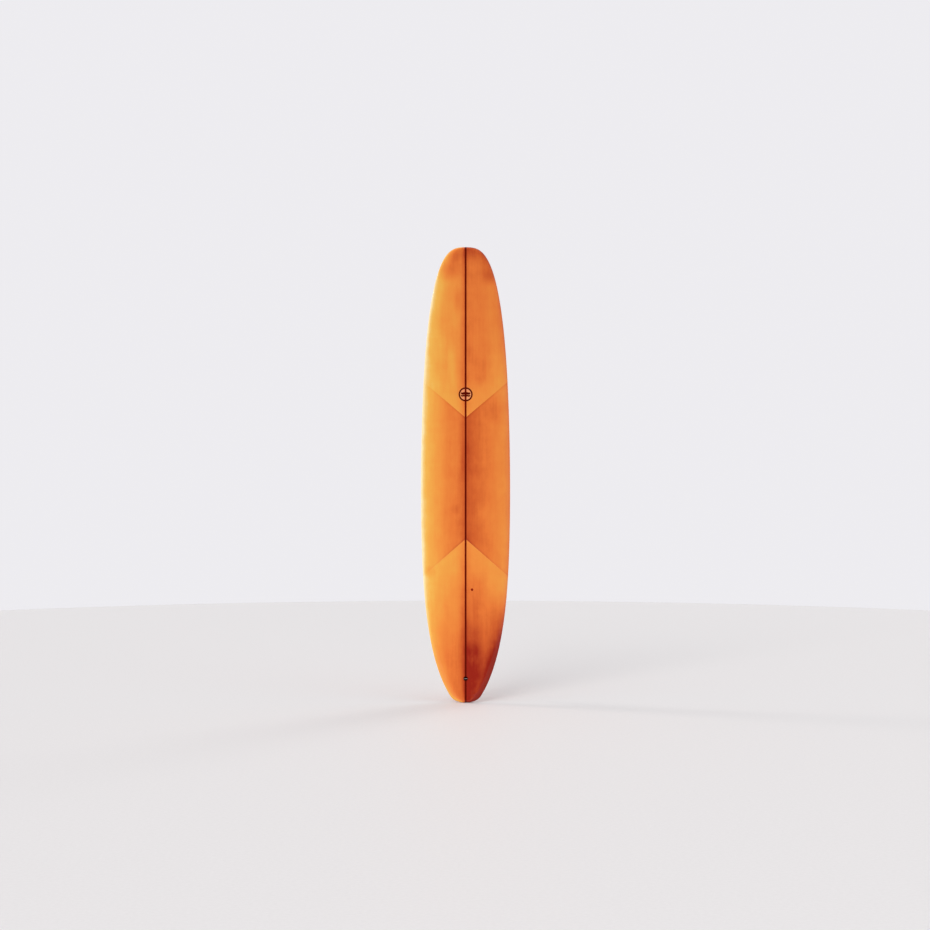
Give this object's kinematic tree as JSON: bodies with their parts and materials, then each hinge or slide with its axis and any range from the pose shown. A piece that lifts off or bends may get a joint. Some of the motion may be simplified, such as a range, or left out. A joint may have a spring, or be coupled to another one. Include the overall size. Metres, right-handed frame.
{
  "type": "longboard surfboard",
  "caption": "Round-nosed longboard with a stringer, tinted glass skins, V-ended deck patch, leash plug, vent plug and a centre fin that slides in a box.",
  "frame": {"origin": "the tail tip, on the stringer, where the upright board meets the sand", "axes": "+Z from tail to nose, +X across the board, -Y out of the deck, +Y out of the bottom and along the fin"},
  "size_m": [0.5716, 0.3353, 2.896],
  "materials": {
    "foam": "matte",
    "stringer_wood": "satin",
    "deck_resin": "gloss",
    "bottom_resin": "gloss",
    "patch_resin": "gloss",
    "badge_print": "satin",
    "cup_plastic": "satin",
    "vent_plastic": "satin",
    "seal_rubber": "matte",
    "box_plastic": "satin",
    "fin_resin": "gloss",
    "steel": "satin"
  },
  "bodies": {
    "board": {"foam_left": "foam", "foam_right": "foam", "stringer": "stringer_wood", "deck_laminate": "deck_resin", "bottom_laminate": "bottom_resin", "deck_patch": "patch_resin", "deck_badge": "badge_print", "leash_cup": "cup_plastic", "leash_pin": "steel", "vent_housing": "vent_plastic", "fin_box": "box_plastic"},
    "fin": {"fin": "fin_resin", "fin_roll_pin": "steel"},
    "fin_screw": {"fin_screw": "steel"},
    "fin_plate": {"fin_plate": "steel"},
    "vent_seal": {"vent_o_ring": "seal_rubber"},
    "vent_screw": {"vent_screw": "vent_plastic"}
  },
  "joints": [
    {"name": "fin_slide", "type": "slide", "parent": "board", "child": "fin", "axis": [0, 0.1261, 0.992], "range_m": [-0.03, 0.03]},
    {"name": "fin_screw_turn", "type": "hinge", "parent": "fin", "child": "fin_screw", "pos_m": [0, 0.06883, 0.39568], "axis": [0, 0.992, -0.1261], "range_deg": [0, 1080]},
    {"name": "fin_plate_drop", "type": "slide", "parent": "fin", "child": "fin_plate", "axis": [0, -0.992, 0.1261], "range_m": [0, 0.00238]},
    {"name": "vent_lift", "type": "slide", "parent": "board", "child": "vent_seal", "axis": [0.012, -0.9992, 0.0392], "range_m": [0, 0.00375]},
    {"name": "vent_turn", "type": "hinge", "parent": "vent_seal", "child": "vent_screw", "pos_m": [0.04098, 0.03658, 0.71593], "axis": [0.012, -0.9992, 0.0392], "range_deg": [0, 1080]}
  ],
  "couplings": [
    {"joint": "fin_screw_turn", "follows": "fin_plate_drop", "rad_per_m": 7913.3},
    {"joint": "vent_turn", "follows": "vent_lift", "rad_per_m": 5026.5}
  ]
}
